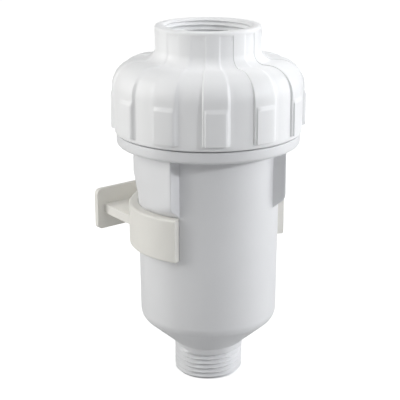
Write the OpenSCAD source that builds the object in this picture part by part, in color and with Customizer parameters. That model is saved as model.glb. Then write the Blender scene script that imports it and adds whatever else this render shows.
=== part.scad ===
// Condensate neutraliser: an upright plastic cartridge for the drain of a condensing boiler.
// A ribbed screw cap with the inlet socket closes a housing that holds a charge of granulate
// between two strainers, and a spring clip holds the housing off the wall.
// The origin is the centre of the outlet's end, +Z points up along the axis,
// the clip opens towards -Y and its wall plate faces +Y.

/* [Outlet] */
// Major diameter of the outlet's male pipe thread
outlet_thread_d = 33.25; // [30:0.05:36]
// Bore through the outlet
outlet_bore_d = 25; // [15:0.5:26]
// Height of the outlet spigot up to the cone
spigot_len = 16.3; // [14:0.1:30]
// Height of the plain collar above the outlet's thread
collar_h = 2.8; // [1.5:0.1:6]
// How far the collar stands out from the thread's crest
collar_step = 0.3; // [0.2:0.05:0.6]
// Chamfer at the end of the outlet's thread
outlet_chamfer = 1.5; // [0.5:0.1:2]

/* [Housing] */
// Outer radius of the housing at the foot of its cylinder
body_r = 33.2; // [31:0.1:35]
// How much wider the cylinder is at its top, for mould draft
body_draft = 0.8; // [0.4:0.1:1.2]
// Wall of the housing
body_wall = 2.6; // [2:0.1:3]
// Height of the flange's underside above the outlet's end
flange_z = 116.6; // [110:0.1:180]
// Slope of the cone above the outlet, from the horizontal
cone_angle = 41; // [30:1:50]
// Radius of the rounded shoulder between cone and cylinder
shoulder_r = 7; // [5:0.5:9]
// How far the neck that carries the cap's thread stands out from the cylinder's top
neck_step = 4; // [3.5:0.1:4.5]
// Height of the neck above the flange
neck_h = 25.6; // [25:0.1:40]
// Wall of the neck
neck_wall = 3.8; // [3:0.1:4.2]
// How far the flange under the cap stands out from the neck
flange_step = 5.5; // [4:0.1:7]
// Height of the flange
flange_h = 5.3; // [3:0.1:6]
// Size of the bevel under the flange
flange_bevel = 0.9; // [0.5:0.1:2.8]
// Height of the ledge for the upper strainer above the flange's underside
ledge_rise = 2.9; // [1.5:0.1:4]

/* [Window and ears] */
// Turn of the window from the clip's opening, seen from above
window_turn = -20; // [-45:1:45]
// Half the window's angle on the housing's surface
window_half_angle = 42.8; // [35:0.2:48]
// Tilt of the ears' front faces from the window's own axis
ear_face_tilt = 30; // [20:1:40]
// How far the ears' outer corners stand out from the cylinder's top
ear_reach = 5.8; // [5:0.1:7]
// Radius of the ears' gently curved outer walls
ear_wall_r = 80; // [70:1:120]
// Thickness of the sleeve that joins the ears round the back
sleeve_t = 1.8; // [1.6:0.1:3]
// Height of the sleeve at the back, below the flange
sleeve_h = 17.7; // [12:0.1:24]
// Height of the ears below the flange
ear_h = 28.4; // [24:0.1:34]
// Slope of the ears' undersides, from the horizontal
ear_under_angle = 39; // [20:1:45]
// How far behind the axis the ears' back edges meet the sleeve
ear_back = 3; // [2:0.5:8]

/* [Inlet cap] */
// Wall of the cap's skirt with its pads, outside the bore that carries the coarse thread
skirt_wall = 5; // [4:0.1:7]
// Depth of the skirt from its lower edge to the seal's seat
skirt_depth = 27.4; // [26.5:0.1:28]
// Height of the skirt's upright wall
skirt_h = 21.2; // [19.5:0.1:22]
// Radius of the dome that turns the skirt into the top
dome_r = 12.6; // [11:0.1:13]
// Wall of the dome
dome_wall = 2.9; // [2.2:0.1:3.4]
// Height of the cap from the skirt's lower edge to the inlet's rim
cap_h = 49.6; // [47:0.1:60]
// Outer radius of the inlet socket over its pads
socket_r = 24.4; // [24:0.1:26]
// Radius of the fillet between socket and dome
socket_fillet = 5.6; // [4:0.1:7]
// Minor diameter of the inlet's female pipe thread
inlet_minor_d = 38.95; // [36:0.05:39.5]
// Diameter of the inlet's mouth at the rim
mouth_d = 46.2; // [44:0.1:46.8]
// Height of the plain rim round the mouth
rim_h = 1.5; // [1:0.1:3]
// How far the rim stands out over the pads
rim_step = 0.15; // [0.1:0.05:0.5]

/* [Pads] */
// Number of raised pads round the cap
pad_count = 12; // [6:1:16]
// Width of one pad, as an angle
pad_angle = 15; // [9:0.5:17]
// Height of the pads over the cap's surface
pad_h = 0.9; // [0.5:0.1:1.2]
// Turn of the first pad from the clip's opening
pad_turn = -5.6; // [-15:0.1:15]
// Height of the plain edge under the pads
pad_foot = 2.3; // [1.5:0.1:4]
// Width of one grip block on its pad, as an angle
block_angle = 12.6; // [6:0.2:14.5]
// Height of the grip blocks over the pads
block_h = 0.7; // [0.3:0.1:1.2]
// Length of the grip blocks
block_len = 17.1; // [12:0.1:18]
// Height of the sloping ledge on top of a grip block
block_ledge = 2; // [0.5:0.1:3]

/* [Screw closure] */
// Gap between the neck's root and the cap's bore, where the two coarse threads mesh
thread_gap = 2.2; // [1.6:0.1:2.4]
// Clearance round the neck's plain top, which centres the cap
cap_clearance = 0.3; // [0.1:0.05:0.4]
// Height of the cap's plain pilot bore below the seal's seat
pilot_h = 4.3; // [3:0.1:5]
// Thickness of the flat cap seal
seal_h = 2.5; // [2:0.1:4]
// Width of the flat cap seal
seal_w = 3.6; // [2.5:0.1:4]

/* [Strainers and charge] */
// Clearance round the strainers and the charge
strainer_clearance = 0.3; // [0.2:0.05:0.5]
// Thickness of a strainer's plate
strainer_t = 2.2; // [1.5:0.1:4]
// Height of the upright rim on a strainer
strainer_rim_h = 5; // [3:0.5:8]
// Wall of the strainer's rim
strainer_rim_w = 1.8; // [1.2:0.1:3]
// Diameter of one strainer hole
hole_d = 3; // [2:0.1:3.5]
// Spacing of the strainer holes
hole_pitch = 6; // [5:0.1:8]
// Width of the ledge inside the shoulder that carries the lower strainer
seat_w = 2.4; // [1.5:0.1:3]
// Head space between the charge and the upper strainer
head_space = 3; // [1:0.5:20]

/* [Wall clip] */
// Clearance between the clip and the housing
clip_clearance = 0.3; // [0.1:0.05:0.5]
// Thickness of the clip's ring
clip_wall = 4.2; // [3:0.1:5]
// Height of the clip's ring and plate
clip_h = 20.6; // [14:0.1:26]
// Opening of the clip's ring, as an angle
clip_opening = 127; // [110:1:150]
// Rounding of the clip's edges
clip_edge = 1; // [0.5:0.1:1.5]
// Distance from the axis to the wall
wall_distance = 49.5; // [47:0.5:70]
// Width of the wall plate
plate_w = 64.6; // [50:0.5:90]
// Thickness of the wall plate
plate_t = 2.5; // [2:0.1:5]
// Rounding of the wall plate's corners
plate_corner_r = 2.6; // [1:0.1:5]
// Width of the web where it meets the wall plate
web_w = 55.8; // [44:0.2:60]
// Angle of the web on the ring, to each side of the wall's direction
web_spread = 57; // [40:1:60]
// Thickness of the web
web_t = 4.7; // [3:0.1:7]
// Diameter of the screw boss behind the ring
boss_d = 13; // [11:0.5:16]
// Diameter of the screw hole
screw_d = 4.5; // [3.5:0.1:5.5]
// Diameter of the recess for the screw's head
screw_head_d = 9; // [7:0.1:10]
// Depth of the recess for the screw's head
screw_head_h = 7; // [4:0.5:9]

/* [Hidden] */
$fn = 96;
overlap = 1;
// Small bevel on moulded edges
edge = 0.7;
// How far pads and blocks run into the surface beneath them
root = 0.5;

// Heights up the housing
flange_top = flange_z + flange_h;
neck_top = flange_top + neck_h;
seal_top = neck_top + seal_h;
ledge_z = flange_z + ledge_rise;
body_top_r = body_r + body_draft;
neck_r = body_top_r + neck_step;
flange_r = neck_r + flange_step;
sleeve_r = body_top_r + sleeve_t;
ear_corner_r = body_top_r + ear_reach;

// Cone and shoulder: the round is tangent to the cylinder and to the cone
thread_r = outlet_thread_d / 2;
collar_r = thread_r + collar_step;
shoulder_c = body_r - shoulder_r;
shoulder_z = spigot_len + ((shoulder_c - collar_r) * sin(cone_angle) + shoulder_r)
             / cos(cone_angle);

// Bores inside the housing
outlet_bore_r = outlet_bore_d / 2;
body_bore_r = body_r - body_wall;
body_bore_top_r = body_top_r - body_wall;
neck_bore_r = neck_r - neck_wall;
seat_z = shoulder_z;
seat_r = body_bore_r - seat_w;
inner_cone_z = spigot_len + (seat_r - collar_r) * tan(cone_angle)
             + body_wall / cos(cone_angle);
inner_cone_foot = inner_cone_z - (seat_r - outlet_bore_r) * tan(cone_angle);

// The cap sits with its ceiling on the seal
cap_bottom = seal_top - skirt_depth;
skirt_bore_r = neck_r + thread_gap;
skirt_r = skirt_bore_r + skirt_wall;
pilot_r = neck_r + cap_clearance;
dome_c = skirt_r - dome_r;
inlet_minor_r = inlet_minor_d / 2;
mouth_r = mouth_d / 2;
roof_r = dome_r - pad_h - dome_wall;
socket_bevel = 1.6;
socket_foot = skirt_h + roof_r + socket_bevel;

// Ears in the window's own plan: x across it, y along its axis, outwards
face_inner = body_top_r * [sin(window_half_angle), cos(window_half_angle)];
face_dir = [cos(ear_face_tilt), sin(ear_face_tilt)];
face_dot = face_inner * face_dir;
face_len = -face_dot + sqrt(face_dot * face_dot + ear_corner_r * ear_corner_r
                            - body_top_r * body_top_r);
ear_corner = face_inner + face_len * face_dir;
ear_corner_a = atan2(ear_corner[0], ear_corner[1]);
// The outer wall's arc is tangent to the sleeve, so its centre lies opposite the tangent point
ear_c = ear_wall_r - sleeve_r;
ear_open = acos((ear_corner_r * ear_corner_r + ear_c * ear_c - ear_wall_r * ear_wall_r)
                / (2 * ear_corner_r * ear_c));
ear_touch_a = ear_corner_a - ear_open + 180;
ear_centre = -ear_c * [sin(ear_touch_a), cos(ear_touch_a)];
ear_normal_a = atan2(ear_corner[0] - ear_centre[0], ear_corner[1] - ear_centre[1]);
ear_z = flange_z - ear_h;
edge_z = flange_z - sleeve_h;
sleeve_under_angle = 52;
// How far the ears' drawn shapes run past the cuts that trim them
ear_spare = 9;
ear_far = ear_corner_r + ear_spare / 2;

// The clip's bore fits the tapered cylinder just under the ears
clip_top = ear_z - clip_clearance;
clip_r = body_r + body_draft * (clip_top - shoulder_z) / (flange_z - shoulder_z)
         + clip_clearance;
clip_outer_r = clip_r + clip_wall;
clip_bottom = clip_top - clip_h;
clip_mid = clip_top - clip_h / 2;

function arc(c, r, from, to, steps) =
    [for (i = [0 : steps]) c + r * [cos(from + (to - from) * i / steps),
                                    sin(from + (to - from) * i / steps)]];

// Plan point at an angle from the window's axis
function around(r, a) = r * [sin(a), cos(a)];

// Turns a shape drawn facing +Y so that it faces -Y, then by the given angle
module facing(turn) {
    rotate([0, 0, 180 + turn]) children();
}

// Part of a ring, centred on the direction +Y before it is turned
module sector(angle) {
    rotate([0, 0, 90 - angle / 2]) rotate_extrude(angle = angle) children();
}

// Housing

module housing_wall() {
    shoulder = arc([shoulder_c, shoulder_z], shoulder_r, cone_angle - 90, 0, 6);
    rotate_extrude() polygon(concat(
        [[outlet_bore_r, 0],
         [thread_r - outlet_chamfer, 0],
         [thread_r, outlet_chamfer],
         [thread_r, spigot_len - collar_h],
         [collar_r, spigot_len - collar_h + collar_step],
         [collar_r, spigot_len]],
        shoulder,
        [[body_top_r, flange_z],
         [flange_r - flange_bevel, flange_z],
         [flange_r, flange_z + flange_bevel],
         [flange_r, flange_top],
         [neck_r, flange_top],
         [neck_r, neck_top - edge],
         [neck_r - edge, neck_top],
         [neck_bore_r, neck_top],
         [neck_bore_r, ledge_z],
         [body_bore_top_r, ledge_z],
         [body_bore_r, seat_z],
         [seat_r, seat_z],
         [seat_r, inner_cone_z],
         [outlet_bore_r, inner_cone_foot]]));
}

// One ear in plan, running from its front face back into the sleeve
module ear_plan() {
    steps = 8;
    root_r = body_top_r - overlap;
    wall = [for (i = [0 : steps - 1])
        ear_centre + around(ear_wall_r, ear_normal_a
                            + (ear_touch_a - ear_normal_a) * i / steps)];
    inner = [for (i = [0 : steps])
        around(root_r, ear_touch_a + (window_half_angle - ear_spare - ear_touch_a) * i / steps)];
    front = ear_corner + [-face_dir[1], face_dir[0]] * ear_spare / 3;
    polygon(concat(wall, [around(sleeve_r - root, ear_touch_a)], inner, [front]));
}

// Space in front of the ears' faces
module window_space() {
    near = face_inner - ear_spare * face_dir;
    far = ear_corner + ear_spare * face_dir;
    top = far[1] + ear_spare;
    translate([0, 0, ear_z - overlap])
        linear_extrude(ear_h + 3 * overlap)
            polygon([near, far, [far[0], top], [-far[0], top],
                     [-far[0], far[1]], [-near[0], near[1]]]);
}

// Everything below a cone that passes through (r, z) at the given slope
module under_cone(r, z, slope) {
    inner_r = body_top_r - 2 * overlap;
    foot = ear_z - ear_spare;
    rotate_extrude()
        polygon([[inner_r, z + (inner_r - r) * tan(slope)],
                 [ear_far, z + (ear_far - r) * tan(slope)],
                 [ear_far, foot],
                 [inner_r, foot]]);
}

// Everything behind the ears' back edges, which slant at 45 degrees across the axis
module behind_ears() {
    top = edge_z + ear_spare;
    foot = ear_z - ear_spare - overlap;
    translate([-ear_far - overlap, 0, 0])
        rotate([90, 0, 90])
            linear_extrude(2 * (ear_far + overlap))
                polygon([[-ear_far - overlap, foot],
                         [edge_z - ear_back - foot, foot],
                         [edge_z - ear_back - top, top],
                         [-ear_far - overlap, top]]);
}

module ears_and_sleeve() {
    difference() {
        union() {
            translate([0, 0, ear_z - overlap])
                rotate_extrude()
                    polygon([[body_top_r - overlap, 0],
                             [sleeve_r, 0],
                             [sleeve_r, ear_h + 2 * overlap],
                             [body_top_r - overlap, ear_h + 2 * overlap]]);
            for (side = [0, 1])
                mirror([side, 0, 0])
                    translate([0, 0, ear_z - overlap])
                        linear_extrude(ear_h + 2 * overlap) ear_plan();
        }
        window_space();
        under_cone(body_top_r, ear_z, ear_under_angle);
        intersection() {
            under_cone(body_top_r, edge_z, sleeve_under_angle);
            behind_ears();
        }
    }
}

module housing() {
    color("whitesmoke") {
        housing_wall();
        facing(window_turn) ears_and_sleeve();
    }
}

// Inlet cap, drawn from the skirt's lower edge

// Outer surface from the skirt up to the socket, set in by a given depth
function cap_surface(inset, from, to) =
    let (fillet_c = [socket_r + socket_fillet, skirt_h + dome_r + socket_fillet])
    concat([[skirt_r - inset, from]],
           arc([dome_c, skirt_h], dome_r - inset, 0, 88, 9),
           arc(fillet_c, socket_fillet + inset, 262, 180, 7),
           [[socket_r - inset, to]]);

module cap_shell() {
    base_r = skirt_r - pad_h;
    rim_r = socket_r + rim_step;
    rim_z = cap_h - rim_h;
    seat_r = pilot_r - seal_w - edge;
    lip = 2 * edge;
    rotate_extrude() polygon(concat(
        [[skirt_bore_r + lip, 0],
         [base_r - edge, 0],
         [base_r, lip]],
        cap_surface(pad_h, pad_foot, rim_z),
        [[rim_r, rim_z + rim_step],
         [rim_r, cap_h - edge],
         [rim_r - edge, cap_h],
         [mouth_r, cap_h],
         [inlet_minor_r, cap_h - (mouth_r - inlet_minor_r)],
         [inlet_minor_r, socket_foot],
         [inlet_minor_r + socket_bevel, socket_foot - socket_bevel],
         [dome_c, skirt_h + roof_r],
         [seat_r, skirt_depth + edge],
         [seat_r, skirt_depth],
         [pilot_r, skirt_depth],
         [pilot_r, skirt_depth - pilot_h],
         [skirt_bore_r, skirt_depth - pilot_h - (skirt_bore_r - pilot_r)],
         [skirt_bore_r, lip]]));
}

module pad() {
    depth = pad_h + root;
    top = cap_h - rim_h + rim_step;
    outer = cap_surface(0, pad_foot, top);
    inner = cap_surface(depth, pad_foot, top);
    sector(pad_angle)
        polygon(concat(outer, [for (i = [len(inner) - 1 : -1 : 0]) inner[i]]));
}

module grip_block() {
    face_r = skirt_r + block_h;
    top = pad_foot + block_len;
    sector(block_angle)
        polygon([[skirt_r - root, pad_foot],
                 [face_r, pad_foot],
                 [face_r, top - block_ledge],
                 [skirt_r, top],
                 [skirt_r - root, top]]);
}

module inlet_cap() {
    color("white")
        translate([0, 0, cap_bottom]) {
            cap_shell();
            for (i = [0 : pad_count - 1])
                facing(pad_turn + i * 360 / pad_count) {
                    pad();
                    grip_block();
                }
        }
}

module cap_seal() {
    color("dimgray")
        translate([0, 0, neck_top])
            rotate_extrude()
                translate([neck_r - seal_w, 0]) square([seal_w, seal_h]);
}

// Strainers

// Strainer holes in rings round a central one
module strainer_holes(reach, depth) {
    rings = floor((reach - hole_d / 2) / hole_pitch);
    cylinder(h = depth, d = hole_d, center = true);
    for (ring = [1 : rings])
        for (i = [0 : 6 * ring - 1])
            rotate([0, 0, i * 60 / ring])
                translate([ring * hole_pitch, 0, 0])
                    cylinder(h = depth, d = hole_d, center = true);
}

module strainer(r) {
    difference() {
        rotate_extrude()
            polygon([[0, 0],
                     [r, 0],
                     [r, strainer_rim_h],
                     [r - strainer_rim_w, strainer_rim_h],
                     [r - strainer_rim_w, strainer_t],
                     [0, strainer_t]]);
        strainer_holes(r - strainer_rim_w - root, 3 * strainer_t);
    }
}

module upper_strainer() {
    color("gainsboro")
        translate([0, 0, ledge_z]) strainer(neck_bore_r - strainer_clearance);
}

module lower_strainer() {
    color("gainsboro")
        translate([0, 0, seat_z]) strainer(body_bore_r - strainer_clearance);
}

// The charge stands on the lower strainer and widens over its rim
module granulate() {
    foot = seat_z + strainer_t;
    rim_top = seat_z + strainer_rim_h + strainer_clearance;
    inner_r = body_bore_r - strainer_rim_w - 2 * strainer_clearance;
    color("tan")
        rotate_extrude()
            polygon([[0, foot],
                     [inner_r, foot],
                     [inner_r, rim_top],
                     [body_bore_r - strainer_clearance, rim_top],
                     [body_bore_top_r - 2 * strainer_clearance, ledge_z - head_space],
                     [0, ledge_z - head_space]]);
}

// Wall clip

module clip_ring() {
    e = clip_edge;
    rotate([0, 0, clip_opening / 2 - 90])
        rotate_extrude(angle = 360 - clip_opening)
            polygon(concat([[clip_r - overlap, clip_bottom]],
                           arc([clip_outer_r - e, clip_bottom + e], e, -90, 0, 3),
                           arc([clip_outer_r - e, clip_top - e], e, 0, 90, 3),
                           [[clip_r - overlap, clip_top]]));
}

module wall_plate() {
    corner = plate_corner_r;
    across = plate_w / 2 - corner;
    translate([0, wall_distance, clip_mid])
        rotate([90, 0, 0])
            linear_extrude(plate_t)
                union() {
                    square([plate_w, clip_h - 2 * corner], center = true);
                    square([2 * across, clip_h], center = true);
                    for (x = [-across, across])
                        for (y = [-clip_h / 2 + corner, clip_h / 2 - corner])
                            translate([x, y]) circle(r = corner, $fn = 32);
                }
}

// Level web between the ring and the wall plate
module web() {
    inner_r = clip_r + clip_wall / 2;
    back = wall_distance - plate_t / 2;
    translate([0, 0, clip_mid - web_t / 2])
        linear_extrude(web_t)
            polygon(concat([[web_w / 2, back], [-web_w / 2, back]],
                           arc([0, 0], inner_r, 90 + web_spread, 90 - web_spread, 12)));
}

// Boss that carries the screw through the ring, the web and the wall plate
module screw_boss() {
    translate([0, clip_r, clip_mid])
        rotate([-90, 0, 0])
            cylinder(h = wall_distance - clip_r - plate_t / 2, d = boss_d);
}

module screw_hole() {
    translate([0, clip_r - 2 * overlap, clip_mid])
        rotate([-90, 0, 0]) {
            cylinder(h = wall_distance - clip_r + 4 * overlap, d = screw_d);
            cylinder(h = screw_head_h + 2 * overlap, d = screw_head_d);
        }
}

module wall_clip() {
    color("ivory")
        difference() {
            union() {
                clip_ring();
                wall_plate();
                web();
                screw_boss();
            }
            screw_hole();
            translate([0, 0, clip_bottom - overlap])
                cylinder(h = clip_h + 2 * overlap, r = clip_r);
        }
}

housing();
inlet_cap();
cap_seal();
upper_strainer();
lower_strainer();
granulate();
wall_clip();
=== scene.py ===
"""Condensate neutraliser: the looks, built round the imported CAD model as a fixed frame.

Housing and cap are single closed skins, turned round the axis column by column, so that the pipe
threads, the coarse closure threads, the ears and the flanks of the pads belong to one surface each.
Lengths are in millimetres until a mesh is made. Angles are in degrees from -Y towards +X.
"""

import math

import bpy
import numpy as np
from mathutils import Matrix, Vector


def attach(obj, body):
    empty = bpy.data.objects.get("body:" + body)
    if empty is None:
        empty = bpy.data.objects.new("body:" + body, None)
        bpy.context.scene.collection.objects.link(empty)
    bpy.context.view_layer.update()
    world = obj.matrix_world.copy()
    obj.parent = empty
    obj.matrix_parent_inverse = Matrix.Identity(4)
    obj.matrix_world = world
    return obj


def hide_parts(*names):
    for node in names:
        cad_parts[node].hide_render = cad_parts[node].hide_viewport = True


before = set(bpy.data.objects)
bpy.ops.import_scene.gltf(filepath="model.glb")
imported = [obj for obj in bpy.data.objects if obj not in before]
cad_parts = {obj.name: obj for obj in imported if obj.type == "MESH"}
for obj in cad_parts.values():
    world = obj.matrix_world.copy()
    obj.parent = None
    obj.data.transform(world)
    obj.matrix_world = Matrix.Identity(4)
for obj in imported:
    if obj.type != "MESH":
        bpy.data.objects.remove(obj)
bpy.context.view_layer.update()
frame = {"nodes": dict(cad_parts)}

MM = 0.001

# Driving dimensions, as in the CAD source
SPIGOT_LEN = 16.3
THREAD_R = 16.62
OUTLET_BORE_R = 12.5
COLLAR_R = 16.92
COLLAR_H = 2.8
OUTLET_CHAMFER = 1.5
BODY_R = 33.2
BODY_TOP_R = 34.0
BODY_WALL = 2.6
SHOULDER_R = 7.0
CONE_ANGLE = 41.0
FLANGE_Z = 116.6
FLANGE_H = 5.3
FLANGE_R = 43.5
FLANGE_BEVEL = 0.9
NECK_R = 38.0
NECK_H = 25.6
NECK_WALL = 3.8
LEDGE_RISE = 2.9
SEAT_W = 2.4

WINDOW_TURN = -20.0
WINDOW_HALF = 42.8
EAR_FACE_TILT = 30.0
EAR_CORNER_R = 39.8
EAR_WALL_R = 80.0
SLEEVE_R = 35.8
SLEEVE_H = 17.7
EAR_H = 28.4
EAR_UNDER = 39.0
SLEEVE_UNDER = 52.0
EAR_BACK = 3.0

SKIRT_R = 45.2
SKIRT_DEPTH = 27.4
SKIRT_H = 21.2
DOME_R = 12.6
DOME_WALL = 2.9
CAP_H = 49.6
SOCKET_R = 24.9
SOCKET_FILLET = 5.3
RIM_H = 1.5
MOUTH_R = 20.8
PAD_COUNT = 12
PAD_HALF = 7.5
PAD_H = 0.9
SHOULDER_PAD_H = 0.4
SOCKET_PAD_H = 0.26
PAD_TURN = -5.6
PAD_FOOT = 2.3
BLOCK_HALF = 6.2
BLOCK_H = 0.7
BLOCK_LEN = 17.1
BLOCK_LEDGE = 2.0
BEVEL_STEEP = 0.17
BEVEL_WIDE = 0.95
SEAL_H = 2.5
SEAL_W = 3.6
CAP_CLEARANCE = 0.3
THREAD_GAP = 2.2
PILOT_H = 4.3

# Threads: G1 outside, G1 1/4 inside, and the coarse closure whose pitch the cap's lift follows
PIPE_PITCH = 2.309
PIPE_DEPTH = 1.479
INLET_MINOR_R = 19.475
INLET_DEPTH = 1.0
RUNOUT_ANGLE = -69.0
RUNOUT_Z = 14.1
INLET_ANGLE = 140.0
INLET_END_Z = 170.3 + 20 * PIPE_PITCH
CLOSURE_PITCH = 6.0
RIDGE_H = 1.8

# Spacing of rows and columns, and the rounding of edges
THREAD_STEP = 0.19
RIDGE_STEP = 0.42
FLANK_GAP = 0.1
COLLAR_ROWS = 1.6
BEVEL_ROUND = 0.55
FLANGE_ROUND = 0.6
BRIM_ROUND = 0.5
SKIRT_ROUND = 0.8
RIM_ROUND = 1.1
SOCKET_BEVEL = 1.6
SEAL_BEVEL = 0.7
BORE_BEVEL = 1.2
PAD_EDGE = 0.06

FLANGE_TOP = FLANGE_Z + FLANGE_H
NECK_TOP = FLANGE_TOP + NECK_H
CAP_BOTTOM = NECK_TOP + SEAL_H - SKIRT_DEPTH
LEDGE_Z = FLANGE_Z + LEDGE_RISE
EAR_Z = FLANGE_Z - EAR_H
SLEEVE_Z = FLANGE_Z - SLEEVE_H
EDGE = 0.35
EAR_EDGE = 2.4
EAR_SEAT = 0.2


def tan(degrees):
    return math.tan(math.radians(degrees))


def sin(degrees):
    return math.sin(math.radians(degrees))


def cos(degrees):
    return math.cos(math.radians(degrees))


def arc(centre, radius, start, end, steps):
    """Points of an arc in the (r, z) plane, angles counted from +r towards +z."""
    turn = np.radians(np.linspace(start, end, steps + 1))
    return [(centre[0] + radius * math.cos(t), centre[1] + radius * math.sin(t)) for t in turn]


def smoothstep(low, high, x):
    t = np.clip((x - low) / (high - low), 0, 1)
    return t * t * (3 - 2 * t)


def round_corner(before, corner, after, reach, steps=3):
    """Rows of points that round a corner: each argument is one point or one point per column."""
    before, corner, after = (np.asarray(p, float) for p in (before, corner, after))
    into = before - corner
    out = after - corner
    into = into / np.maximum(np.linalg.norm(into, axis=-1, keepdims=True), 1e-6)
    out = out / np.maximum(np.linalg.norm(out, axis=-1, keepdims=True), 1e-6)
    start, end = corner + into * reach, corner + out * reach
    rows = []
    for t in np.linspace(0, 1, steps + 1):
        rows.append((1 - t) ** 2 * start + 2 * t * (1 - t) * corner + t * t * end)
    return rows


def closed_skin(name, rows, angles):
    """A closed skin from rows of (r, z), one value per column angle; rows run round the section."""
    count = len(angles)
    grid = np.array([np.broadcast_to(np.asarray(row, float), (count, 2)) for row in rows])
    around = np.radians(angles)
    points = np.stack([grid[:, :, 0] * np.sin(around),
                       -grid[:, :, 0] * np.cos(around),
                       grid[:, :, 1]], axis=-1) * MM
    depth = len(rows)
    index = np.arange(depth * count).reshape(depth, count)
    nxt = np.roll(index, -1, axis=0)
    faces = np.stack([index, np.roll(index, -1, axis=1),
                      np.roll(nxt, -1, axis=1), nxt], axis=-1).reshape(-1, 4)
    mesh = bpy.data.meshes.new(name)
    mesh.from_pydata(points.reshape(-1, 3).tolist(), [], faces.tolist())
    mesh.validate()
    return finish_mesh(name, mesh)


def finish_mesh(name, mesh, sharp=38):
    """Links a mesh as an object with smooth faces and sharp edges above an angle."""
    mesh.polygons.foreach_set("use_smooth", [True] * len(mesh.polygons))
    mesh.set_sharp_from_angle(angle=math.radians(sharp))
    obj = bpy.data.objects.new(name, mesh)
    bpy.context.scene.collection.objects.link(obj)
    return obj


# Housing


def housing_plan():
    """Column angles from the window's centre and the ears' and sleeve's outer radius there."""
    inner = BODY_TOP_R * np.array([sin(WINDOW_HALF), cos(WINDOW_HALF)])
    run = np.array([cos(EAR_FACE_TILT), sin(EAR_FACE_TILT)])
    along = inner @ run
    corner = inner + run * (-along + math.sqrt(along**2 + EAR_CORNER_R**2 - BODY_TOP_R**2))
    # The outer wall is an arc tangent to the sleeve at its far end
    offset = EAR_WALL_R - SLEEVE_R
    opening = math.degrees(math.acos((EAR_CORNER_R**2 + offset**2 - EAR_WALL_R**2)
                                     / (2 * EAR_CORNER_R * offset)))
    corner_angle = math.degrees(math.atan2(corner[0], corner[1]))
    touch = corner_angle - opening + 180
    centre = -offset * np.array([sin(touch), cos(touch)])
    normal = math.degrees(math.atan2(*(corner - centre)))
    wall = [centre + EAR_WALL_R * np.array([sin(a), cos(a)])
            for a in np.linspace(normal, touch, 26)]
    face = [inner + (corner - inner) * t for t in np.linspace(0, 0.9, 5)]
    plan = face + round_corner(corner - run, corner, wall[1], 0.6) + wall[1:]
    angles = [math.degrees(math.atan2(p[0], p[1])) for p in plan]
    radii = [float(np.hypot(*p)) for p in plan]
    window = list(np.linspace(0, WINDOW_HALF, 22)[:-1])
    back = list(np.linspace(touch, 180, 36)[1:])
    angles = np.array(window + angles + back)
    radii = np.array([0.0] * len(window) + radii + [SLEEVE_R] * len(back))
    breaks = underside_breaks(angles, radii)
    extra = np.interp(breaks, angles, radii)
    order = np.argsort(np.concatenate([angles, breaks]), kind="stable")
    angles = np.concatenate([angles, breaks])[order]
    radii = np.concatenate([radii, extra])[order]
    mirrored = slice(-2, 0, -1)
    return (np.concatenate([angles, -angles[mirrored]]),
            np.concatenate([radii, radii[mirrored]]))


def underside(radius, angles):
    """Height of the ears' and sleeve's underside at a radius, from the cones and the slant."""
    ears = EAR_Z + (radius - BODY_TOP_R) * tan(EAR_UNDER)
    sleeve = SLEEVE_Z + (radius - BODY_TOP_R) * tan(SLEEVE_UNDER)
    slant = SLEEVE_Z - EAR_BACK - radius * np.cos(np.radians(angles))
    return np.maximum(ears, np.minimum(sleeve, slant))


def underside_breaks(angles, radii):
    """Angles where the underside changes from cone to slant and back, inside and outside."""
    fine = np.linspace(60, 120, 2401)
    found = []
    for radius in (np.full_like(fine, BODY_TOP_R), np.interp(fine, angles, radii)):
        bend = np.abs(np.diff(underside(radius, fine), 2))
        for k in (np.argmax(bend[:1200]), 1200 + np.argmax(bend[1200:])):
            found.append(fine[k + 1])
    return np.array(found)


def body_radius(z):
    return BODY_R + (BODY_TOP_R - BODY_R) * (z - SHOULDER_Z) / (FLANGE_Z - SHOULDER_Z)


SHOULDER_C = BODY_R - SHOULDER_R
SHOULDER_Z = (SPIGOT_LEN + ((SHOULDER_C - COLLAR_R) * sin(CONE_ANGLE) + SHOULDER_R)
              / cos(CONE_ANGLE))


def pipe_groove(z, angles, end_angle, end_z):
    """Depth share of a right-hand pipe thread's groove that runs out at (end_angle, end_z)."""
    centre = end_z + PIPE_PITCH * (angles - end_angle) / 360
    turns = np.round((z - centre) / PIPE_PITCH)
    across = np.abs(z - centre - turns * PIPE_PITCH) / PIPE_PITCH
    ramp = np.clip(1 - 2 * across, 0, 1)
    form = 0.5 * ramp + 0.25 * (1 - np.cos(math.pi * ramp))
    past_end = turns * 360 + angles - end_angle
    return form * (1 - smoothstep(-25, 0, past_end))


def outlet_rows(angles):
    """The spigot's outside from its end to the collar's top."""
    heights = np.arange(0, SPIGOT_LEN - COLLAR_H + COLLAR_ROWS, THREAD_STEP)
    turned = (angles + 180 - RUNOUT_ANGLE) % 360 + RUNOUT_ANGLE - 180
    rows = []
    for z in heights:
        depth = PIPE_DEPTH * pipe_groove(z, turned, RUNOUT_ANGLE, RUNOUT_Z)
        chamfer = THREAD_R - max(0, OUTLET_CHAMFER - z)
        collar = (COLLAR_R - THREAD_R) * smoothstep(SPIGOT_LEN - COLLAR_H - 0.4,
                                                    SPIGOT_LEN - COLLAR_H + 0.1, z)
        radius = np.minimum(THREAD_R + collar - depth, chamfer + collar)
        rows.append(np.stack([radius, np.full_like(radius, z)], axis=-1))
    return rows


def ridge(z, angles, low, high, phase):
    """Height share of the coarse closure ridge: flat crest, sloping flanks, faded at both ends."""
    turn = (z / CLOSURE_PITCH - angles / 360 + phase) % 1
    across = np.abs(turn - 0.5)
    crest = 1 - smoothstep(0.1, 0.2, across)
    return crest * smoothstep(low, low + 1.2, z) * (1 - smoothstep(high - 1.2, high, z))


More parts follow.
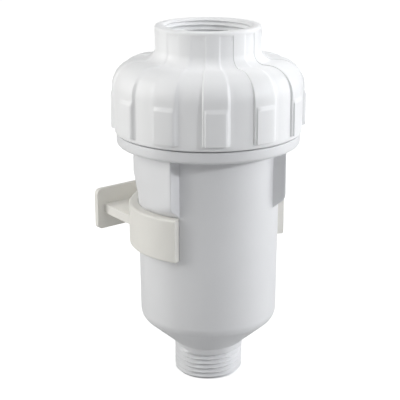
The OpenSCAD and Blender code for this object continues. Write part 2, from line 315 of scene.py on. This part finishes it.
def neck_rows(angles):
    rows = []
    low, high = FLANGE_TOP + 3, NECK_TOP - PILOT_H - 0.6
    for z in np.arange(FLANGE_TOP + 0.4, NECK_TOP - 1, RIDGE_STEP):
        radius = NECK_R + RIDGE_H * ridge(z, angles, low, high, 0)
        rows.append(np.stack([radius, np.full_like(radius, z)], axis=-1))
    return rows


def ear_rows(angles, radii):
    """The body's wall above the clip, the ears, the sleeve and the flange's underside."""
    outer = np.maximum(radii, 0)
    foot = underside(np.full_like(outer, BODY_TOP_R), angles) - EAR_SEAT
    in_window = outer < body_radius(foot) + 0.05
    foot = np.where(np.abs(angles) <= WINDOW_HALF, EAR_Z, foot)
    brim = underside(np.maximum(outer, BODY_TOP_R), angles)
    brim = np.where(in_window, EAR_Z + 0.3, np.maximum(brim, foot + 0.3))
    brim_r = np.where(in_window, body_radius(brim), outer)
    a = np.stack([body_radius(foot), foot], axis=-1)
    b = np.stack([brim_r, brim], axis=-1)
    top = np.full_like(outer, FLANGE_Z)
    c = np.stack([np.where(in_window, BODY_TOP_R, outer), top], axis=-1)
    below = np.stack([body_radius(foot - 2), foot - 2], axis=-1)
    rim = np.stack([np.full_like(outer, FLANGE_R), top], axis=-1)
    slope = np.linalg.norm(b - a, axis=-1, keepdims=True)
    inner_reach = np.minimum(0.6 * EDGE, 0.3 * slope)
    outer_reach = np.minimum(EAR_EDGE, 0.6 * slope)
    rows = [below, *round_corner(below, a, b, inner_reach, 2),
            *round_corner(a, b, c, outer_reach, 6)]
    for share in (0.25, 0.45, 0.7, 0.9):
        rows.append(b + (c - b) * share)
    rows += round_corner(b, c, rim, EDGE, 2)
    return rows


def make_housing():
    angles, radii = housing_plan()
    place = WINDOW_TURN + angles
    bore_r, bore_top_r = BODY_R - BODY_WALL, BODY_TOP_R - BODY_WALL
    neck_bore_r = NECK_R - NECK_WALL
    seat_r = bore_r - SEAT_W
    cone_z = SPIGOT_LEN + (seat_r - COLLAR_R) * tan(CONE_ANGLE) + BODY_WALL / cos(CONE_ANGLE)
    cone_foot = cone_z - (seat_r - OUTLET_BORE_R) * tan(CONE_ANGLE)
    rows = [(OUTLET_BORE_R + EDGE, 0), (THREAD_R - OUTLET_CHAMFER - 0.5, 0)]
    rows += outlet_rows(place)
    rows += round_corner((COLLAR_R, SPIGOT_LEN - 1), (COLLAR_R, SPIGOT_LEN),
                         (COLLAR_R + 1, SPIGOT_LEN + tan(CONE_ANGLE)), EDGE, 3)
    rows += arc((SHOULDER_C, SHOULDER_Z), SHOULDER_R, CONE_ANGLE - 90, 0, 10)
    for z in (45, 60, 75):
        rows.append((body_radius(z), z))
    rows += ear_rows(angles, radii)
    bevel_foot = (FLANGE_R - FLANGE_BEVEL, FLANGE_Z)
    bevel_top = (FLANGE_R, FLANGE_Z + FLANGE_BEVEL)
    brim = (FLANGE_R, FLANGE_TOP)
    root = (NECK_R, FLANGE_TOP)
    rows += round_corner((BODY_R, FLANGE_Z), bevel_foot, bevel_top, BEVEL_ROUND, 3)
    rows += round_corner(bevel_foot, bevel_top, brim, FLANGE_ROUND, 3)
    rows += round_corner(bevel_top, brim, root, BRIM_ROUND, 3)
    rows += round_corner(brim, root, (NECK_R, NECK_TOP), 0.4, 2)
    rows += neck_rows(place)
    rows += round_corner((NECK_R, FLANGE_TOP), (NECK_R, NECK_TOP), (neck_bore_r, NECK_TOP), 0.6, 3)
    rows += round_corner((NECK_R, NECK_TOP), (neck_bore_r, NECK_TOP), (neck_bore_r, LEDGE_Z),
                         EDGE, 2)
    rows += [(neck_bore_r, LEDGE_Z), (bore_top_r + EDGE, LEDGE_Z), (bore_top_r, LEDGE_Z - EDGE),
             (bore_r, SHOULDER_Z), (seat_r, SHOULDER_Z), (seat_r, cone_z),
             (OUTLET_BORE_R, cone_foot), (OUTLET_BORE_R, EDGE)]
    housing = closed_skin("housing_skin", rows, place)
    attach(housing, "cartridge")
    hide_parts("housing")
    return housing


# Cap


def flank_angles(edge, half):
    """Columns at the foot and head of a bevelled flank round an edge angle."""
    return [edge + side * half + gap for side in (-1, 1) for gap in (-FLANK_GAP, FLANK_GAP)]


def cap_angles():
    """Column angles of the cap: close together at the bevelled edges of pads and blocks."""
    period = 360 / PAD_COUNT
    one = []
    for edge, half in ((-PAD_HALF, BEVEL_STEEP), (-BLOCK_HALF, BEVEL_STEEP),
                       (BLOCK_HALF, BEVEL_WIDE), (PAD_HALF, BEVEL_WIDE)):
        one += flank_angles(edge, half)
    one += [-3, 0, 3]
    one += list(np.linspace(max(one), min(one) + period, 6)[1:-1])
    one = sorted(set(round(a, 4) for a in one))
    return np.array([PAD_TURN + k * period + a for k in range(PAD_COUNT) for a in one])


def plateau(angles, half):
    """1 over a pad or block and 0 beside it: a steep flank on one side, a wide one on the other."""
    period = 360 / PAD_COUNT
    local = (angles - PAD_TURN + period / 2) % period - period / 2
    bevel = np.where(local < 0, BEVEL_STEEP, BEVEL_WIDE)
    return np.clip((half + bevel - np.abs(local)) / (2 * bevel), 0, 1)


def cap_outer(angles):
    """The cap's outside from the skirt's foot to the rim, with the surface sunk between the pads."""
    top = PAD_FOOT + BLOCK_LEN
    pads, blocks = plateau(angles, PAD_HALF), plateau(angles, BLOCK_HALF)
    rows = []

    def add(r, z, normal, relief, pad=1.0, block=0.0):
        out = relief * (pads * pad - 1) + BLOCK_H * blocks * block
        rows.append(np.stack([r + cos(normal) * out, CAP_BOTTOM + z + sin(normal) * out], axis=-1))

    for z, pad in ((PAD_FOOT - 2 * PAD_EDGE, 0), (PAD_FOOT, 0.1), (PAD_FOOT + PAD_EDGE, 0.9)):
        add(SKIRT_R, z, 0, PAD_H, pad, pad)
    add(SKIRT_R, PAD_FOOT + 0.25, 0, PAD_H, 1, 1)
    for z in np.linspace(PAD_FOOT + 3, top - BLOCK_LEDGE - 0.3, 4):
        add(SKIRT_R, z, 0, PAD_H, 1, 1)
    for drop, block in ((BLOCK_LEDGE, 0.97), (BLOCK_LEDGE - 0.35, 0.84), (0.35, 0.13), (0, 0.02)):
        add(SKIRT_R, top - drop, 0, PAD_H, 1, block)
    add(SKIRT_R, top + 0.3, 0, PAD_H)
    for angle in np.linspace(0, 88, 17):
        relief = PAD_H + (SHOULDER_PAD_H - PAD_H) * float(smoothstep(10, 60, angle))
        add(SKIRT_R - DOME_R + DOME_R * cos(angle), SKIRT_H + DOME_R * sin(angle), angle, relief)
    for angle in np.linspace(262, 180, 14):
        relief = SOCKET_PAD_H + (SHOULDER_PAD_H - SOCKET_PAD_H) * (angle - 180) / 82
        add(SOCKET_R + SOCKET_FILLET + SOCKET_FILLET * cos(angle),
            SKIRT_H + DOME_R + SOCKET_FILLET + SOCKET_FILLET * sin(angle), angle - 180, relief)
    rim_z = CAP_H - RIM_H
    for z in (rim_z - 3, rim_z - 0.8):
        add(SOCKET_R, z, 0, SOCKET_PAD_H)
    add(SOCKET_R, rim_z - 0.4, 0, 0.5 * SOCKET_PAD_H)
    add(SOCKET_R, rim_z, 0, 0)
    return rows


def inlet_rows(angles):
    """The socket's inside from the mouth down to the thread's foot."""
    foot = SKIRT_H + DOME_R - PAD_H - DOME_WALL + SOCKET_BEVEL
    rows = []
    for z in np.arange(CAP_H - 0.25, foot, -THREAD_STEP):
        groove = INLET_DEPTH * pipe_groove(CAP_BOTTOM + z, angles, INLET_ANGLE, INLET_END_Z)
        chamfer = MOUTH_R - (CAP_H - z)
        radius = np.maximum(INLET_MINOR_R + groove, chamfer)
        rows.append(np.stack([radius, np.full_like(radius, CAP_BOTTOM + z)], axis=-1))
    return rows


def closure_rows(angles):
    """The skirt's bore from under the pilot down to its mouth, with the mating ridge."""
    bore_r = NECK_R + THREAD_GAP
    high = CAP_BOTTOM + SKIRT_DEPTH - PILOT_H - THREAD_GAP
    low = CAP_BOTTOM + 1.4
    rows = []
    for z in np.arange(high, low + 0.2, -RIDGE_STEP):
        radius = bore_r - RIDGE_H * ridge(z, angles, low + 0.6, high - 0.4, 0.5)
        rows.append(np.stack([radius, np.full_like(radius, z)], axis=-1))
    return rows


def make_cap():
    angles = cap_angles()
    base_r = SKIRT_R - PAD_H
    bore_r = NECK_R + THREAD_GAP
    pilot_r = NECK_R + CAP_CLEARANCE
    seal_r = pilot_r - SEAL_W - SEAL_BEVEL
    roof_r = DOME_R - PAD_H - DOME_WALL
    top = CAP_BOTTOM + CAP_H
    seat_z = CAP_BOTTOM + SKIRT_DEPTH
    rows = [(bore_r + BORE_BEVEL, CAP_BOTTOM)]
    rows += round_corner((bore_r, CAP_BOTTOM), (base_r, CAP_BOTTOM), (base_r, CAP_BOTTOM + 3),
                         SKIRT_ROUND, 4)
    rows += cap_outer(angles)
    rows += round_corner((SOCKET_R, top - RIM_H), (SOCKET_R, top), (MOUTH_R, top), RIM_ROUND, 5)
    rows += [(MOUTH_R + 0.15, top)]
    rows += inlet_rows(angles)
    foot = CAP_BOTTOM + SKIRT_H + roof_r + SOCKET_BEVEL
    rows += [(INLET_MINOR_R, foot), (INLET_MINOR_R + SOCKET_BEVEL, foot - SOCKET_BEVEL)]
    rows += [(SKIRT_R - DOME_R, CAP_BOTTOM + SKIRT_H + roof_r), (seal_r, seat_z + SEAL_BEVEL),
             (seal_r, seat_z), (pilot_r, seat_z), (pilot_r, seat_z - PILOT_H)]
    rows += closure_rows(angles)
    rows += [(bore_r, CAP_BOTTOM + BORE_BEVEL)]
    cap = closed_skin("inlet_cap_skin", rows, angles)
    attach(cap, "cap")
    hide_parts("inlet_cap")
    return cap


# Materials


def plastic(name, colour, roughness, tint=0.02, grain=0.06):
    """Moulded plastic: faint drifts of tone, uneven gloss and a fine orange-peel surface."""
    material = bpy.data.materials.new(name)
    material.use_nodes = True
    nodes, links = material.node_tree.nodes, material.node_tree.links
    shader = nodes["Principled BSDF"]
    where = nodes.new("ShaderNodeTexCoord")

    drift = nodes.new("ShaderNodeTexNoise")
    drift.inputs["Scale"].default_value = 28
    drift.inputs["Detail"].default_value = 3
    links.new(where.outputs["Object"], drift.inputs["Vector"])
    tone = nodes.new("ShaderNodeValToRGB")
    tone.color_ramp.elements[0].position = 0.3
    tone.color_ramp.elements[1].position = 0.7
    tone.color_ramp.elements[0].color = [c * (1 - tint) for c in colour] + [1]
    tone.color_ramp.elements[1].color = [min(1, c * (1 + tint)) for c in colour] + [1]
    links.new(drift.outputs["Fac"], tone.inputs["Fac"])
    links.new(tone.outputs["Color"], shader.inputs["Base Color"])

    gloss = nodes.new("ShaderNodeMapRange")
    gloss.inputs["To Min"].default_value = roughness - 0.05
    gloss.inputs["To Max"].default_value = roughness + 0.05
    links.new(drift.outputs["Fac"], gloss.inputs["Value"])
    links.new(gloss.outputs["Result"], shader.inputs["Roughness"])

    peel = nodes.new("ShaderNodeTexNoise")
    peel.inputs["Scale"].default_value = 900
    peel.inputs["Detail"].default_value = 2
    links.new(where.outputs["Object"], peel.inputs["Vector"])
    bump = nodes.new("ShaderNodeBump")
    bump.inputs["Strength"].default_value = grain
    bump.inputs["Distance"].default_value = 0.0004
    links.new(peel.outputs["Fac"], bump.inputs["Height"])
    links.new(bump.outputs["Normal"], shader.inputs["Normal"])
    return material


def granules(name):
    """Crushed stone: cells of slightly different tone with rounded, broken surfaces."""
    material = bpy.data.materials.new(name)
    material.use_nodes = True
    nodes, links = material.node_tree.nodes, material.node_tree.links
    shader = nodes["Principled BSDF"]
    shader.inputs["Roughness"].default_value = 0.85
    where = nodes.new("ShaderNodeTexCoord")
    cells = nodes.new("ShaderNodeTexVoronoi")
    cells.inputs["Scale"].default_value = 330
    links.new(where.outputs["Object"], cells.inputs["Vector"])
    split = nodes.new("ShaderNodeSeparateColor")
    links.new(cells.outputs["Color"], split.inputs["Color"])
    tone = nodes.new("ShaderNodeValToRGB")
    tone.color_ramp.elements[0].color = (0.50, 0.47, 0.41, 1)
    tone.color_ramp.elements[1].color = (0.82, 0.80, 0.74, 1)
    links.new(split.outputs["Red"], tone.inputs["Fac"])
    links.new(tone.outputs["Color"], shader.inputs["Base Color"])
    bump = nodes.new("ShaderNodeBump")
    bump.invert = True
    bump.inputs["Strength"].default_value = 1
    bump.inputs["Distance"].default_value = 0.002
    links.new(cells.outputs["Distance"], bump.inputs["Height"])
    links.new(bump.outputs["Normal"], shader.inputs["Normal"])
    return material


HOUSING_WHITE = (0.8, 0.805, 0.82)
CAP_WHITE = (0.885, 0.89, 0.9)
CLIP_WHITE = (0.845, 0.832, 0.79)
STRAINER_WHITE = (0.80, 0.81, 0.83)
SEAL_BLACK = (0.06, 0.06, 0.065)


def wear(obj, material):
    """Gives an object one material in place of those it has."""
    obj.data.materials.clear()
    obj.data.materials.append(material)


# Stage


CAMERA_AZIMUTH = -40.0
CAMERA_ELEVATION = 17.0
CAMERA_DISTANCE = 0.57
FOCAL_PIXELS = 1180.0
IMAGE_PIXELS = 400.0
AXIS_RIGHT_PIXELS = 8.3
TARGET = Vector((0, 0, 0.0873))
FLOOR_TONE = 0.55
FLOOR_LIFT = 0.7


def towards(azimuth, elevation):
    return Vector((sin(azimuth) * cos(elevation), -cos(azimuth) * cos(elevation), sin(elevation)))


def make_camera():
    data = bpy.data.cameras.new("camera")
    data.sensor_width = 36
    data.lens = FOCAL_PIXELS / IMAGE_PIXELS * data.sensor_width
    data.shift_x = -AXIS_RIGHT_PIXELS / IMAGE_PIXELS
    data.clip_start, data.clip_end = 0.01, 20
    camera = bpy.data.objects.new("camera", data)
    back = towards(CAMERA_AZIMUTH, CAMERA_ELEVATION)
    camera.location = TARGET + back * CAMERA_DISTANCE
    camera.rotation_mode = "QUATERNION"
    camera.rotation_quaternion = (-back).to_track_quat("-Z", "Y")
    bpy.context.scene.collection.objects.link(camera)
    bpy.context.scene.camera = camera


def softbox(name, angle, elevation, distance, size, power, colour):
    """An area light that faces the object, placed by its angle to the right of the camera."""
    data = bpy.data.lights.new(name, "AREA")
    data.shape = "RECTANGLE"
    data.size, data.size_y = size
    data.energy = power
    data.color = colour
    light = bpy.data.objects.new(name, data)
    back = towards(CAMERA_AZIMUTH + angle, elevation)
    light.location = TARGET + back * distance
    light.rotation_mode = "QUATERNION"
    light.rotation_quaternion = (-back).to_track_quat("-Z", "Y")
    bpy.context.scene.collection.objects.link(light)


def make_world(ambient):
    """Pale surroundings that light the object evenly and show white to the camera."""
    world = bpy.data.worlds.new("studio")
    bpy.context.scene.world = world
    world.use_nodes = True
    nodes, links = world.node_tree.nodes, world.node_tree.links
    background = nodes["Background"]
    white = nodes.new("ShaderNodeBackground")
    white.inputs["Color"].default_value = (1, 1, 1, 1)
    background.inputs["Color"].default_value = (0.97, 0.98, 1, 1)
    background.inputs["Strength"].default_value = ambient
    rays = nodes.new("ShaderNodeLightPath")
    mix = nodes.new("ShaderNodeMixShader")
    links.new(rays.outputs["Is Camera Ray"], mix.inputs["Fac"])
    links.new(background.outputs["Background"], mix.inputs[1])
    links.new(white.outputs["Background"], mix.inputs[2])
    links.new(mix.outputs["Shader"], nodes["World Output"].inputs["Surface"])


def make_floor():
    """A plain pale floor: it keeps the shadow and is lifted to white for the camera alone."""
    half = 4
    mesh = bpy.data.meshes.new("floor")
    mesh.from_pydata([(-half, -half, 0), (half, -half, 0), (half, half, 0), (-half, half, 0)],
                     [], [(0, 1, 2, 3)])
    floor = bpy.data.objects.new("floor", mesh)
    bpy.context.scene.collection.objects.link(floor)
    material = bpy.data.materials.new("floor")
    material.use_nodes = True
    nodes, links = material.node_tree.nodes, material.node_tree.links
    shader = nodes["Principled BSDF"]
    shader.inputs["Base Color"].default_value = (FLOOR_TONE, FLOOR_TONE, FLOOR_TONE, 1)
    shader.inputs["Roughness"].default_value = 0.9
    shader.inputs["Specular IOR Level"].default_value = 0
    where = nodes.new("ShaderNodeTexCoord")
    reach = nodes.new("ShaderNodeVectorMath")
    reach.operation = "LENGTH"
    links.new(where.outputs["Object"], reach.inputs[0])
    spread = nodes.new("ShaderNodeMapRange")
    spread.interpolation_type = "SMOOTHSTEP"
    spread.inputs["From Min"].default_value = 0.1
    spread.inputs["From Max"].default_value = 0.7
    spread.inputs["To Min"].default_value = FLOOR_LIFT
    spread.inputs["To Max"].default_value = 1
    links.new(reach.outputs["Value"], spread.inputs["Value"])
    rays = nodes.new("ShaderNodeLightPath")
    lift = nodes.new("ShaderNodeMath")
    lift.operation = "MULTIPLY"
    links.new(spread.outputs["Result"], lift.inputs[0])
    links.new(rays.outputs["Is Camera Ray"], lift.inputs[1])
    glow = nodes.new("ShaderNodeEmission")
    links.new(lift.outputs["Value"], glow.inputs["Strength"])
    add = nodes.new("ShaderNodeAddShader")
    links.new(shader.outputs["BSDF"], add.inputs[0])
    links.new(glow.outputs["Emission"], add.inputs[1])
    links.new(add.outputs["Shader"], nodes["Material Output"].inputs["Surface"])
    floor.data.materials.append(material)


housing = make_housing()
cap = make_cap()
nodes = frame["nodes"]
wear(housing, plastic("housing_plastic", HOUSING_WHITE, 0.42))
wear(cap, plastic("cap_plastic", CAP_WHITE, 0.47))
wear(nodes["wall_clip"], plastic("clip_plastic", CLIP_WHITE, 0.42))
wear(nodes["cap_seal"], plastic("seal_rubber", SEAL_BLACK, 0.6, tint=0.1))
strainer_plastic = plastic("strainer_plastic", STRAINER_WHITE, 0.5)
wear(nodes["upper_strainer"], strainer_plastic)
wear(nodes["lower_strainer"], strainer_plastic)
wear(nodes["granulate"], granules("granulate_stone"))

make_camera()
make_world(0.03)
softbox("key", 61, 22, 0.9, (0.07, 0.07), 2.75, (0.975, 0.985, 1))
softbox("right", 100, 12, 0.9, (0.5, 0.9), 5.8, (0.98, 0.99, 1.0))
softbox("left", -86, 14, 0.9, (0.6, 0.9), 5.5, (1, 0.995, 0.97))
softbox("left_high", -85, 35, 0.6, (0.4, 0.5), 0.35, (1, 0.995, 0.975))
softbox("left_front", -55, 25, 0.9, (0.15, 0.15), 0.7, (1, 0.995, 0.975))
softbox("front", -5, 40, 0.6, (0.5, 0.3), 0.36, (0.96, 0.98, 1))
softbox("top", 0, 80, 0.5, (0.4, 0.4), 0.7, (1, 1, 1))
softbox("back", 160, 35, 0.8, (0.5, 0.5), 1.4, (1, 1, 1))
make_floor()

scene = bpy.context.scene
scene.view_settings.view_transform = "Standard"
